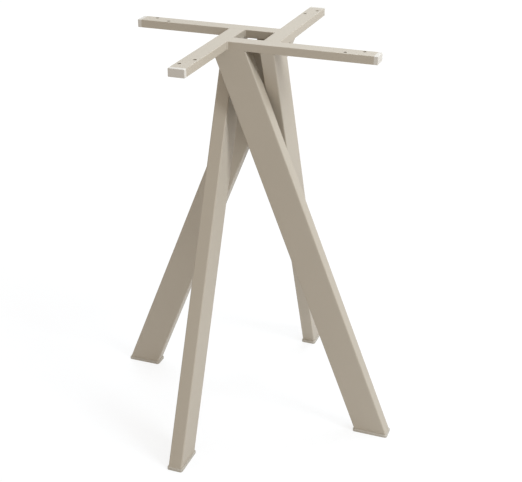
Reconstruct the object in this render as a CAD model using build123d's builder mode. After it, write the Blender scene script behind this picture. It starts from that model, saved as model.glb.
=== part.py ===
from build123d import *

import os
from math import acos, atan2, cos, degrees, hypot, tan

# An aluminium table base of bar height, in millimetres, +Z up. The origin is on the floor under the
# middle of the square opening in the top cross. Four flat tubes make the cross, each one butting
# against the side of the next, and four leaning legs stand under it in the same turning order.

# Driving dimensions of the whole base
overall_height = 1010.0
arm_span = 650.0  # over the end caps of two opposite arms
foot_spread = 800.0  # over the soles of two opposite feet
leg_crossing_gap = 0.5  # between two legs where they pass each other

# Flat tube of the top cross
arm_width = 40.0
arm_height = 20.0
arm_wall = 2.0
arm_corner = 1.5
arm_bore_corner = 0.8

# Rectangular tube of the legs
leg_width = 80.0
leg_thickness = 35.0
leg_wall = 2.0
leg_corner = 3.0
leg_bore_corner = 1.0

# Screw holes for the table top, two in each arm
screw_hole = 9.0
screw_end_distance = 40.0  # from the outer face of the end cap to the first hole
screw_pitch = 40.0  # along the arm, from the first hole to the second
screw_stagger = 20.0  # across the arm

# Moulded end cap of an arm
cap_head = 10.0
cap_edge = 1.5  # rounding of the head
cap_spigot = 18.0
cap_skin = 1.6
cap_clearance = 0.2

# Moulded cap of a foot
sole_height = 8.0
sole_lip = 3.0
sole_top_bevel = 2.0
sole_bottom_bevel = 0.8
foot_spigot = 30.0
foot_skin = 2.2
foot_clearance = 0.25

# Gripping fins on the spigots of both kinds of cap
fin_depth = 1.4
fin_thickness = 1.2
fin_count = 3
spigot_bevel = 1.5

# The arm and the leg that point the same way share a name, and both are turned about the middle
turns = {"right": 0, "rear": 90, "left": 180, "front": 270}

# The screw holes are staggered one way in three arms and the other way in the right one
first_hole_side = {"right": 1, "rear": -1, "left": -1, "front": -1}

# A leg leans until its foot reaches the edge of the foot spread. It passes its neighbour with the
# crossing gap, and this also sets how far the outer faces of the legs and arms stand from the middle
underside = overall_height - arm_height
rise = underside - sole_height
reach = foot_spread / 2 - sole_lip + leg_thickness + leg_crossing_gap / 2
lean = acos(leg_width / 2 / hypot(reach, rise)) - atan2(rise, reach)
leg_footprint = leg_width / cos(lean)
outer_face = (leg_footprint + 2 * leg_thickness + leg_crossing_gap) / 2
opening = 2 * (outer_face - arm_width)

arm_reach = arm_span / 2
arm_middle = outer_face - arm_width / 2
tube_end = arm_reach - cap_head
leg_middle = outer_face - leg_thickness / 2


def turned(angle, plane):
    """A plane of the right-hand arm or leg, turned about the middle of the base."""
    return Plane(Location((0, 0, 0), (0, 0, angle)) * plane.location)


def arm_plane(along):
    """Square across the right-hand arm, with X across the arm and Z pointing outwards."""
    return Plane(
        origin=(along, -arm_middle, overall_height - arm_height / 2),
        x_dir=(0, 1, 0),
        z_dir=(1, 0, 0),
    )


def leg_axis_point(height):
    """The point of the right-hand leg's axis at a height above the floor."""
    return (leg_footprint / 2 - outer_face + (underside - height) * tan(lean), -leg_middle, height)


def leg_plane(height):
    """Square across the right-hand leg, with X along its width and Z pointing up the leg."""
    return Plane(origin=leg_axis_point(height)).rotated((0, -degrees(lean), 0))


def level_plane(height):
    """Level, with its origin on the axis of the right-hand leg."""
    return Plane(origin=leg_axis_point(height))


def make_arm(angle, side):
    """A flat tube, closed at its inner end by the side of the next arm, with two screw holes."""
    with BuildPart() as arm:
        with BuildSketch(turned(angle, arm_plane(-opening / 2))):
            RectangleRounded(arm_width, arm_height, arm_corner)
            RectangleRounded(
                arm_width - 2 * arm_wall, arm_height - 2 * arm_wall, arm_bore_corner, mode=Mode.SUBTRACT
            )
        extrude(amount=tube_end + opening / 2)
        first = arm_reach - screw_end_distance
        spots = [
            (first, -arm_middle + side * screw_stagger / 2),
            (first - screw_pitch, -arm_middle - side * screw_stagger / 2),
        ]
        with BuildSketch(turned(angle, Plane.XY.offset(overall_height))):
            with Locations(*spots):
                Circle(screw_hole / 2)
        extrude(amount=-arm_height, mode=Mode.SUBTRACT)
    return arm


def make_arm_cap(angle):
    """A moulded cap: a head as wide as the tube, and a hollow spigot with fins inside the tube."""
    bore_width = arm_width - 2 * arm_wall - 2 * cap_clearance
    bore_height = arm_height - 2 * arm_wall - 2 * cap_clearance
    core_width = bore_width - 2 * fin_depth
    core_height = bore_height - 2 * fin_depth
    fin_pitch = cap_spigot / (fin_count + 1)
    with BuildPart() as cap:
        with BuildSketch(turned(angle, arm_plane(tube_end))):
            RectangleRounded(arm_width, arm_height, arm_corner)
        extrude(amount=cap_head)
        outwards = Axis((0, 0, 0), turned(angle, arm_plane(0)).z_dir)
        fillet(cap.faces().sort_by(outwards)[-1].edges(), cap_edge)
        with BuildSketch(turned(angle, arm_plane(tube_end))) as core:
            Rectangle(core_width, core_height)
            chamfer(core.vertices(), spigot_bevel)
        extrude(amount=-cap_spigot)
        fin_planes = [turned(angle, arm_plane(tube_end - (n + 1) * fin_pitch)) for n in range(fin_count)]
        with BuildSketch(*fin_planes) as fin:
            Rectangle(bore_width, bore_height)
            chamfer(fin.vertices(), spigot_bevel)
        extrude(amount=fin_thickness)
        with BuildSketch(turned(angle, arm_plane(tube_end - cap_spigot))):
            Rectangle(core_width - 2 * cap_skin, core_height - 2 * cap_skin)
        extrude(amount=cap_spigot, mode=Mode.SUBTRACT)
    return cap


def make_leg(angle):
    """A rectangular tube, cut level at the underside of the cross and at the top of its sole."""
    stock = rise / cos(lean) + leg_width
    with BuildPart() as leg:
        with BuildSketch(turned(angle, leg_plane(sole_height + rise / 2))):
            RectangleRounded(leg_width, leg_thickness, leg_corner)
            RectangleRounded(
                leg_width - 2 * leg_wall, leg_thickness - 2 * leg_wall, leg_bore_corner, mode=Mode.SUBTRACT
            )
        extrude(amount=stock / 2, both=True)
        split(bisect_by=Plane.XY.offset(underside), keep=Keep.BOTTOM)
        split(bisect_by=Plane.XY.offset(sole_height), keep=Keep.TOP)
    return leg


def make_foot_cap(angle):
    """A moulded foot: a flat sole with a lip all round, and a leaning spigot inside the leg."""
    bore_length = (leg_width - 2 * leg_wall - 2 * foot_clearance) / cos(lean)
    bore_width = leg_thickness - 2 * leg_wall - 2 * foot_clearance
    core_length = bore_length - 2 * fin_depth
    core_width = bore_width - 2 * fin_depth
    fin_pitch = foot_spigot / (fin_count + 1)
    up_the_leg = turned(angle, leg_plane(sole_height)).z_dir
    with BuildPart() as foot:
        with BuildSketch(turned(angle, level_plane(sole_height))):
            RectangleRounded(
                leg_footprint + 2 * sole_lip, leg_thickness + 2 * sole_lip, leg_corner + sole_lip
            )
        extrude(amount=-sole_height)
        chamfer(foot.faces().sort_by(Axis.Z)[-1].edges(), sole_top_bevel)
        chamfer(foot.faces().sort_by(Axis.Z)[0].edges(), sole_bottom_bevel)
        with BuildSketch(turned(angle, level_plane(sole_height))) as core:
            Rectangle(core_length, core_width)
            chamfer(core.vertices(), spigot_bevel)
        extrude(amount=foot_spigot / cos(lean), dir=up_the_leg)
        fin_planes = [turned(angle, level_plane(sole_height + (n + 1) * fin_pitch)) for n in range(fin_count)]
        with BuildSketch(*fin_planes) as fin:
            Rectangle(bore_length, bore_width)
            chamfer(fin.vertices(), spigot_bevel)
        extrude(amount=fin_thickness, dir=up_the_leg)
        with BuildSketch(turned(angle, level_plane(sole_height))):
            Rectangle(core_length - 2 * foot_skin, core_width - 2 * foot_skin)
        extrude(amount=foot_spigot / cos(lean), dir=up_the_leg, mode=Mode.SUBTRACT)
    return foot


os.makedirs("parts", exist_ok=True)
for side, angle in turns.items():
    arm = make_arm(angle, first_hole_side[side])
    arm.part.label = f"arm_{side}"
    export_step(arm.part, f"parts/arm_{side}.step")

    arm_cap = make_arm_cap(angle)
    arm_cap.part.label = f"arm_cap_{side}"
    export_step(arm_cap.part, f"parts/arm_cap_{side}.step")

    leg = make_leg(angle)
    leg.part.label = f"leg_{side}"
    export_step(leg.part, f"parts/leg_{side}.step")

    foot_cap = make_foot_cap(angle)
    foot_cap.part.label = f"foot_cap_{side}"
    export_step(foot_cap.part, f"parts/foot_cap_{side}.step")

print(f"lean {degrees(lean):.3f} degrees, leg footprint {leg_footprint:.3f}, outer face {outer_face:.3f}")
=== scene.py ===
import math

import bpy
from mathutils import Matrix, Vector


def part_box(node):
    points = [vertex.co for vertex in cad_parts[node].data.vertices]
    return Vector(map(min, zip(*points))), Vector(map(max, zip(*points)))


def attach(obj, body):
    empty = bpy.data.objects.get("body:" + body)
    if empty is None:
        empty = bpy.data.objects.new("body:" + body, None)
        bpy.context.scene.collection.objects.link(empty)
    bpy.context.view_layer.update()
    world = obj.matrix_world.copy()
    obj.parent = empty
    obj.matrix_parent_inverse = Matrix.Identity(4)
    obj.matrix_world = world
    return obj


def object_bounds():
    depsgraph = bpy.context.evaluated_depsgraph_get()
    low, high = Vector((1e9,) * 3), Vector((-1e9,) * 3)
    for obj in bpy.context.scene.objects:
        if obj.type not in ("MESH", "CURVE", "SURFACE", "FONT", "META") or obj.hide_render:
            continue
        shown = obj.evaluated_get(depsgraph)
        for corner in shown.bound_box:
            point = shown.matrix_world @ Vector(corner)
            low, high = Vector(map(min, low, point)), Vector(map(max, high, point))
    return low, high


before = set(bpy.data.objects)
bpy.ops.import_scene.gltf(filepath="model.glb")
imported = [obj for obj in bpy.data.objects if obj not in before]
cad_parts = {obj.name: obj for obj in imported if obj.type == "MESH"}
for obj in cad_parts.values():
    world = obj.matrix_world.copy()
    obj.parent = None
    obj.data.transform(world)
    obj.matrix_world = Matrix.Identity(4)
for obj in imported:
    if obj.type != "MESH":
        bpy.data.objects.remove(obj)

# An aluminium table base of bar height. Lengths are in metres.
cad_low, cad_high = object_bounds()

# Arms of the top cross: four flat aluminium tubes, sawn square and laid like a pinwheel, each one
# butting with its inner end against the side of the next. The whole frame is powder coated in a
# satin taupe after welding, which leaves a very fine orange peel on the flat faces.
sides = ("right", "rear", "left", "front")
coat_light = (0.447, 0.388, 0.308, 1.0)
coat_dark = (0.425, 0.369, 0.291, 1.0)
coat_shade_scale = 6.0
coat_shade_detail = 3.0
coat_gloss_scale = 90.0
coat_roughness_low = 0.42
coat_roughness_high = 0.52
coat_refraction = 1.5
coat_peel_scale = 650.0
coat_peel_detail = 1.0
coat_peel_strength = 0.6
coat_peel_depth = 0.00012


def powder_coat(name):
    """Satin paint with a faint drift of shade, a fine orange peel and an uneven gloss."""
    material = bpy.data.materials.new(name)
    material.use_nodes = True
    nodes = material.node_tree.nodes
    links = material.node_tree.links
    shader = nodes["Principled BSDF"]
    shader.inputs["IOR"].default_value = coat_refraction
    place = nodes.new("ShaderNodeTexCoord")

    shade = nodes.new("ShaderNodeTexNoise")
    shade.inputs["Scale"].default_value = coat_shade_scale
    shade.inputs["Detail"].default_value = coat_shade_detail
    tint = nodes.new("ShaderNodeMix")
    tint.data_type = "RGBA"
    tint.inputs["A"].default_value = coat_dark
    tint.inputs["B"].default_value = coat_light
    links.new(place.outputs["Object"], shade.inputs["Vector"])
    links.new(shade.outputs["Fac"], tint.inputs["Factor"])
    links.new(tint.outputs["Result"], shader.inputs["Base Color"])

    gloss = nodes.new("ShaderNodeTexNoise")
    gloss.inputs["Scale"].default_value = coat_gloss_scale
    spread = nodes.new("ShaderNodeMapRange")
    spread.inputs["To Min"].default_value = coat_roughness_low
    spread.inputs["To Max"].default_value = coat_roughness_high
    links.new(place.outputs["Object"], gloss.inputs["Vector"])
    links.new(gloss.outputs["Fac"], spread.inputs["Value"])
    links.new(spread.outputs["Result"], shader.inputs["Roughness"])

    peel = nodes.new("ShaderNodeTexNoise")
    peel.inputs["Scale"].default_value = coat_peel_scale
    peel.inputs["Detail"].default_value = coat_peel_detail
    bump = nodes.new("ShaderNodeBump")
    bump.inputs["Strength"].default_value = coat_peel_strength
    bump.inputs["Distance"].default_value = coat_peel_depth
    links.new(place.outputs["Object"], peel.inputs["Vector"])
    links.new(peel.outputs["Fac"], bump.inputs["Height"])
    links.new(bump.outputs["Normal"], shader.inputs["Normal"])
    return material


coat = powder_coat("satin_taupe_coat")


def dress(piece, material):
    """Gives a piece its finish in place of whatever it had."""
    piece.data.materials.clear()
    piece.data.materials.append(material)


for side in sides:
    dress(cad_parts[f"arm_{side}"], coat)

# Legs: four wide rectangular aluminium tubes, cut level at the top and the bottom. Each leans
# outwards under the arm that shares its name and passes close by the next leg. They have the same
# coat as the arms.
for side in sides:
    dress(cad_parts[f"leg_{side}"], coat)

# Welds of the top cross: where an arm butts against the next one, the seam on the top and on the
# underside is filled and ground off flush, and the two upright inside corners keep a small hollow
# fillet. All of it lies under the coat, so only a faint line is left.
arm_low, arm_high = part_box("arm_right")
arm_corner = 0.0015
ground_depth = 0.0001  # from the face of the tube down to the ground face of the weld
weld_overlap = 0.0008  # of a weld with the tubes that it joins
seam_softness = 0.0002
seam_softness_rows = 2
seam_steps = 24
seam_unevenness = 0.00004
seam_seed = 4
fillet_size = 0.0032
fillet_hollow = 0.3
fillet_rows = 6
fillet_end_softness = 0.0006
fillet_end_rows = 2
smooth_under = math.radians(40)


def block(low, high):
    """A plain bar between two corners, ready to be shaped."""
    bpy.ops.object.select_all(action="DESELECT")
    bpy.ops.mesh.primitive_cube_add(size=1.0, location=(low + high) / 2)
    bar = bpy.context.active_object
    bar.scale = high - low
    bpy.ops.object.transform_apply(location=True, rotation=True, scale=True)
    return bar


def select_edges(bar, wanted):
    """Selects the edges whose two ends both pass a test, and enters edit mode on edges."""
    bpy.ops.object.mode_set(mode="EDIT")
    bpy.ops.mesh.select_mode(type="EDGE")
    bpy.ops.mesh.select_all(action="DESELECT")
    bpy.ops.object.mode_set(mode="OBJECT")
    for edge in bar.data.edges:
        edge.select = all(wanted(bar.data.vertices[corner].co) for corner in edge.vertices)
    bpy.ops.object.mode_set(mode="EDIT")


def ground_seam(low, high):
    """A weld ground off flush: a slim bar with soft edges and a slightly uneven face."""
    bar = block(low, high)
    bpy.ops.object.mode_set(mode="EDIT")
    bpy.ops.mesh.select_all(action="SELECT")
    bpy.ops.mesh.bevel(offset=seam_softness, segments=seam_softness_rows, affect="EDGES")
    longest = max(range(3), key=lambda axis: high[axis] - low[axis])
    along = [1.0 if axis == longest else 0.0 for axis in range(3)]
    for step in range(1, seam_steps):
        cut = Vector(low)
        cut[longest] += (high[longest] - low[longest]) * step / seam_steps
        bpy.ops.mesh.select_all(action="SELECT")
        bpy.ops.mesh.bisect(plane_co=cut, plane_no=along)
    bpy.ops.mesh.select_all(action="SELECT")
    bpy.ops.transform.vertex_random(offset=seam_unevenness, seed=seam_seed)
    bpy.ops.object.mode_set(mode="OBJECT")
    bpy.ops.object.shade_smooth_by_angle(angle=smooth_under)
    return bar


def upright_fillet(corner, along_x, along_y):
    """A hollow fillet in an upright inside corner. The two signs say which way it opens."""
    reach = Vector((along_x, along_y)) * fillet_size
    sunk = Vector((along_x, along_y)) * -weld_overlap
    low = Vector((*corner, arm_low.z + arm_corner / 2))
    high = Vector((*corner, arm_high.z - arm_corner / 2))
    for axis in (0, 1):
        low[axis] += min(reach[axis], sunk[axis])
        high[axis] += max(reach[axis], sunk[axis])
    bar = block(low, high)
    tip = Vector(corner) + reach
    select_edges(bar, lambda co: (co.xy - tip).length < weld_overlap)
    bpy.ops.mesh.bevel(offset=fillet_size, segments=fillet_rows, profile=fillet_hollow, affect="EDGES")
    bpy.ops.object.mode_set(mode="OBJECT")
    ends = (low.z, high.z)
    select_edges(bar, lambda co: min(abs(co.z - end) for end in ends) < seam_softness)
    bpy.ops.mesh.bevel(offset=fillet_end_softness, segments=fillet_end_rows, affect="EDGES")
    bpy.ops.object.mode_set(mode="OBJECT")
    bpy.ops.object.shade_smooth_by_angle(angle=smooth_under)
    return bar


def joined(pieces):
    """Makes one piece of several."""
    bpy.ops.object.select_all(action="DESELECT")
    for piece in pieces:
        piece.select_set(True)
    bpy.context.view_layer.objects.active = pieces[0]
    bpy.ops.object.join()
    return pieces[0]


def on_all_sides(stem, weld, material):
    """Repeats a weld of the right-hand side on the other three, and fixes all four to the frame."""
    dress(weld, material)
    group = [weld]
    for quarter in range(1, len(sides)):
        bpy.ops.object.select_all(action="DESELECT")
        weld.select_set(True)
        bpy.context.view_layer.objects.active = weld
        bpy.ops.object.duplicate()
        twin = bpy.context.active_object
        twin.rotation_euler = (0.0, 0.0, quarter * math.pi / 2)
        bpy.ops.object.transform_apply(location=True, rotation=True, scale=True)
        group.append(twin)
    for side, member in zip(sides, group):
        member.name = f"{stem}_{side}"
        member.data.name = member.name
        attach(member, "root")


# The seams lie over the joint between the right arm's inner end and the side of the front arm.
seam_inner = arm_low.x - arm_corner
seam_outer = arm_low.x + weld_overlap
top_seam = ground_seam(
    Vector((seam_inner, arm_low.y + ground_depth, arm_high.z - arm_corner)),
    Vector((seam_outer, arm_high.y - ground_depth, arm_high.z - ground_depth)),
)
under_seam = ground_seam(
    Vector((seam_inner, arm_low.y + ground_depth, arm_low.z + ground_depth)),
    Vector((seam_outer, arm_high.y - ground_depth, arm_low.z + arm_corner)),
)
outer_fillet = upright_fillet((arm_low.x, arm_low.y), 1, -1)
inner_fillet = upright_fillet((arm_low.x, arm_high.y), 1, 1)
cross_weld = joined([top_seam, under_seam, outer_fillet, inner_fillet])
on_all_sides("cross_weld", cross_weld, coat)

# Welds of the legs: each leg top is welded all round to the underside of the cross. Under the arms
# the bead is left as laid, in small overlapping drops. Where the leg is flush with an arm's side the
# seam is ground off.
leg_low, leg_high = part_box("leg_right")
leg_width = 0.080
leg_corner = 0.003
drop_half_size = (0.0013, 0.0027, 0.0027)  # along the bead, across it and up
drop_tilt = math.radians(22)
drop_pitch = 0.0016
drop_segments = 16
drop_rings = 10
bead_grain = 0.00045
bead_smoothing = 2

# Seen from above, a leg is as long as its level cut and the run of its lean together.
leg_length = leg_high.x - leg_low.x
leg_height = leg_high.z - leg_low.z
leg_lean = math.acos(leg_width / math.hypot(leg_length, leg_height)) - math.atan2(leg_height, leg_length)
leg_top_end = leg_high.x - leg_height * math.tan(leg_lean)


def weld_bead(start, length, turn):
    """A row of overlapping drops melted into each other, from a start point, turned about Z."""
    drop_count = round(length / drop_pitch)
    bpy.ops.object.select_all(action="DESELECT")
    bpy.ops.mesh.primitive_uv_sphere_add(segments=drop_segments, ring_count=drop_rings, radius=1.0)
    bead = bpy.context.active_object
    bead.scale = drop_half_size
    bead.rotation_euler = (0.0, drop_tilt, 0.0)
    bpy.ops.object.transform_apply(location=True, rotation=True, scale=True)
    row = bead.modifiers.new("drops", "ARRAY")
    row.count = drop_count
    row.use_relative_offset = False
    row.use_constant_offset = True
    row.constant_offset_displace = (length / drop_count, 0.0, 0.0)
    bpy.ops.object.modifier_apply(modifier=row.name)
    fused = bead.modifiers.new("fused", "REMESH")
    fused.mode = "VOXEL"
    fused.voxel_size = bead_grain
    bpy.ops.object.modifier_apply(modifier=fused.name)
    melted = bead.modifiers.new("melted", "SMOOTH")
    melted.iterations = bead_smoothing
    bpy.ops.object.modifier_apply(modifier=melted.name)
    bpy.ops.object.shade_smooth()
    bead.location = start
    bead.rotation_euler = (0.0, 0.0, turn)
    bpy.ops.object.transform_apply(location=True, rotation=True, scale=True)
    return bead


# Beads as laid: along the inner side, across the leading end, and on the outer side as far as the
# right arm begins. Ground seams: from there along the outer side, and across the trailing end.
inner_bead = weld_bead(
    (leg_low.x + leg_corner, leg_high.y, leg_high.z),
    leg_top_end - leg_low.x - 2 * leg_corner,
    0.0,
)
leading_bead = weld_bead(
    (leg_top_end, leg_low.y + leg_corner, leg_high.z),
    leg_high.y - leg_low.y - 2 * leg_corner,
    math.pi / 2,
)
outer_bead = weld_bead(
    (leg_low.x + leg_corner, leg_low.y, leg_high.z),
    arm_low.x - leg_low.x - 2 * leg_corner,
    0.0,
)
outer_seam = ground_seam(
    Vector((arm_low.x, leg_low.y + ground_depth, leg_high.z - ground_depth)),
    Vector((leg_top_end - leg_corner, leg_low.y + arm_corner, leg_high.z + arm_corner)),
)
trailing_seam = ground_seam(
    Vector((leg_low.x + ground_depth, leg_low.y + leg_corner, leg_high.z - ground_depth)),
    Vector((leg_low.x + arm_corner, leg_high.y - leg_corner, leg_high.z + arm_corner)),
)
leg_weld = joined([inner_bead, leading_bead, outer_bead, outer_seam, trailing_seam])
on_all_sides("leg_weld", leg_weld, coat)

# End caps of the arms and caps of the feet: plastic mouldings with the fine even grain of an eroded
# mould, pushed into the tubes by their spigots. The arm caps are paler than the coat, and the feet
# are close to it.
cap_light = (0.605, 0.560, 0.497, 1.0)
cap_dark = (0.580, 0.535, 0.472, 1.0)
foot_light = (0.452, 0.408, 0.342, 1.0)
foot_dark = (0.428, 0.384, 0.320, 1.0)
plastic_roughness = 0.55
plastic_refraction = 1.49
plastic_grain_scale = 1400.0
plastic_grain_detail = 2.0
plastic_grain_strength = 0.6
plastic_grain_depth = 0.00008


def moulded_plastic(name, dark, light):
    """Even matt plastic with a fine moulded grain."""
    material = bpy.data.materials.new(name)
    material.use_nodes = True
    nodes = material.node_tree.nodes
    links = material.node_tree.links
    shader = nodes["Principled BSDF"]
    shader.inputs["Roughness"].default_value = plastic_roughness
    shader.inputs["IOR"].default_value = plastic_refraction
    place = nodes.new("ShaderNodeTexCoord")
    grain = nodes.new("ShaderNodeTexNoise")
    grain.inputs["Scale"].default_value = plastic_grain_scale
    grain.inputs["Detail"].default_value = plastic_grain_detail
    tint = nodes.new("ShaderNodeMix")
    tint.data_type = "RGBA"
    tint.inputs["A"].default_value = dark
    tint.inputs["B"].default_value = light
    bump = nodes.new("ShaderNodeBump")
    bump.inputs["Strength"].default_value = plastic_grain_strength
    bump.inputs["Distance"].default_value = plastic_grain_depth
    links.new(place.outputs["Object"], grain.inputs["Vector"])
    links.new(grain.outputs["Fac"], tint.inputs["Factor"])
    links.new(tint.outputs["Result"], shader.inputs["Base Color"])
    links.new(grain.outputs["Fac"], bump.inputs["Height"])
    links.new(bump.outputs["Normal"], shader.inputs["Normal"])
    return material


cap_plastic = moulded_plastic("pale_taupe_plastic", cap_dark, cap_light)
foot_plastic = moulded_plastic("taupe_foot_plastic", foot_dark, foot_light)
for side in sides:
    dress(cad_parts[f"arm_cap_{side}"], cap_plastic)
    dress(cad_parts[f"foot_cap_{side}"], foot_plastic)

# The studio: a wide white floor that keeps a soft shadow round the feet and fades into a white
# surround farther out. To the eye the surround is plain white, and it lights the base more dimly.
floor_size = 60.0
floor_white = (0.92, 0.92, 0.92, 1.0)
floor_glow = 1.04
floor_glow_share_near = 0.78
floor_glow_share_far = 1.0
shadow_fades_from = 0.7
shadow_fades_by = 2.4
surround_white = (1.0, 1.0, 1.0, 1.0)
surround_white_strength = 1.0
surround_tint = (1.0, 0.91, 0.80, 1.0)
surround_light = 0.50

bpy.ops.object.select_all(action="DESELECT")
bpy.ops.mesh.primitive_plane_add(size=floor_size, location=(0.0, 0.0, cad_low.z))
floor = bpy.context.active_object
floor.name = "studio_floor"
bpy.ops.object.transform_apply(location=True, rotation=True, scale=True)


def seen_directly(tree):
    """1 for what the camera sees by itself, or through a reflection or glass, and 0 for other light."""
    path = tree.nodes.new("ShaderNodeLightPath")
    either = tree.nodes.new("ShaderNodeMath")
    either.operation = "ADD"
    tree.links.new(path.outputs["Is Camera Ray"], either.inputs[0])
    tree.links.new(path.outputs["Is Glossy Ray"], either.inputs[1])
    whole = tree.nodes.new("ShaderNodeMath")
    whole.operation = "ADD"
    whole.use_clamp = True
    tree.links.new(either.outputs["Value"], whole.inputs[0])
    tree.links.new(path.outputs["Is Transmission Ray"], whole.inputs[1])
    return whole.outputs["Value"]


def floor_paint(name):
    """White floor: mostly a plain white glow to the eye, with enough paint left to keep the shadow."""
    material = bpy.data.materials.new(name)
    material.use_nodes = True
    tree = material.node_tree
    tree.nodes.clear()
    paint = tree.nodes.new("ShaderNodeBsdfDiffuse")
    paint.inputs["Color"].default_value = floor_white
    glow = tree.nodes.new("ShaderNodeEmission")
    glow.inputs["Strength"].default_value = floor_glow
    place = tree.nodes.new("ShaderNodeTexCoord")
    far_out = tree.nodes.new("ShaderNodeVectorMath")
    far_out.operation = "LENGTH"
    fade = tree.nodes.new("ShaderNodeMapRange")
    fade.inputs["From Min"].default_value = shadow_fades_from
    fade.inputs["From Max"].default_value = shadow_fades_by
    fade.inputs["To Min"].default_value = floor_glow_share_near
    fade.inputs["To Max"].default_value = floor_glow_share_far
    share = tree.nodes.new("ShaderNodeMath")
    share.operation = "MULTIPLY"
    blend = tree.nodes.new("ShaderNodeMixShader")
    output = tree.nodes.new("ShaderNodeOutputMaterial")
    tree.links.new(place.outputs["Object"], far_out.inputs[0])
    tree.links.new(far_out.outputs["Value"], fade.inputs["Value"])
    tree.links.new(seen_directly(tree), share.inputs[0])
    tree.links.new(fade.outputs["Result"], share.inputs[1])
    tree.links.new(share.outputs["Value"], blend.inputs["Fac"])
    tree.links.new(paint.outputs["BSDF"], blend.inputs[1])
    tree.links.new(glow.outputs["Emission"], blend.inputs[2])
    tree.links.new(blend.outputs["Shader"], output.inputs["Surface"])
    return material


floor.data.materials.append(floor_paint("white_floor"))


def surround(name):
    """The world round the base: plain white to the eye, and a dimmer warm light on the base."""
    world = bpy.data.worlds.new(name)
    world.use_nodes = True
    tree = world.node_tree
    tree.nodes.clear()
    lighting = tree.nodes.new("ShaderNodeBackground")
    lighting.inputs["Strength"].default_value = surround_light
    lighting.inputs["Color"].default_value = surround_tint
    backdrop = tree.nodes.new("ShaderNodeBackground")
    backdrop.inputs["Strength"].default_value = surround_white_strength
    backdrop.inputs["Color"].default_value = surround_white
    blend = tree.nodes.new("ShaderNodeMixShader")
    output = tree.nodes.new("ShaderNodeOutputWorld")
    tree.links.new(seen_directly(tree), blend.inputs["Fac"])
    tree.links.new(lighting.outputs["Background"], blend.inputs[1])
    tree.links.new(backdrop.outputs["Background"], blend.inputs[2])
    tree.links.new(blend.outputs["Shader"], output.inputs["Surface"])
    return world


bpy.context.scene.world = surround("white_surround")

# Lamps: one large soft lamp high on the right, and one above and a little behind. Both are cool.
key_place = (3.2, -0.9, 3.0)
key_size = 1.4
key_power = 110.0
key_tint = (0.83, 0.91, 1.0)
top_place = (0.3, 1.1, 4.1)
top_size = 2.0
top_power = 92.0
top_tint = (0.73, 0.855, 1.0)
lamp_aim = (0.0, 0.0, 0.55)


def soft_lamp(name, place, size, power, colour):
    """A square studio lamp that points at the middle of the base."""
    bpy.ops.object.select_all(action="DESELECT")
    bpy.ops.object.light_add(type="AREA", location=place)
    lamp = bpy.context.active_object
    lamp.name = name
    lamp.data.size = size
    lamp.data.energy = power
    lamp.data.color = colour
    to_aim = [end - start for end, start in zip(lamp_aim, place)]
    level = math.hypot(to_aim[0], to_aim[1])
    lamp.rotation_euler = (math.atan2(level, -to_aim[2]), 0.0, math.atan2(-to_aim[0], to_aim[1]))


soft_lamp("key_lamp", key_place, key_size, key_power, key_tint)
soft_lamp("top_lamp", top_place, top_size, top_power, top_tint)

# The camera stands where the photograph was taken from, as worked out from the edges of the base.
image_width = 522
focal_pixels = 1088.56
camera_place = (0.88820, -2.39450, 1.67954)
camera_turn = math.radians(19.92)
camera_pitch = math.radians(-25.41)
camera_roll = math.radians(0.29)
sensor_width = 36.0  # in millimetres

bpy.ops.object.select_all(action="DESELECT")
bpy.ops.object.camera_add(location=camera_place)
camera = bpy.context.active_object
camera.name = "photo_camera"
camera.data.sensor_width = sensor_width
camera.data.lens = focal_pixels / image_width * sensor_width
facing = Matrix.Rotation(camera_turn, 4, "Z")
facing = facing @ Matrix.Rotation(math.pi / 2 + camera_pitch, 4, "X")
facing = facing @ Matrix.Rotation(camera_roll, 4, "Z")
camera.rotation_euler = facing.to_euler()
bpy.context.scene.camera = camera
bpy.context.scene.view_settings.view_transform = "Standard"
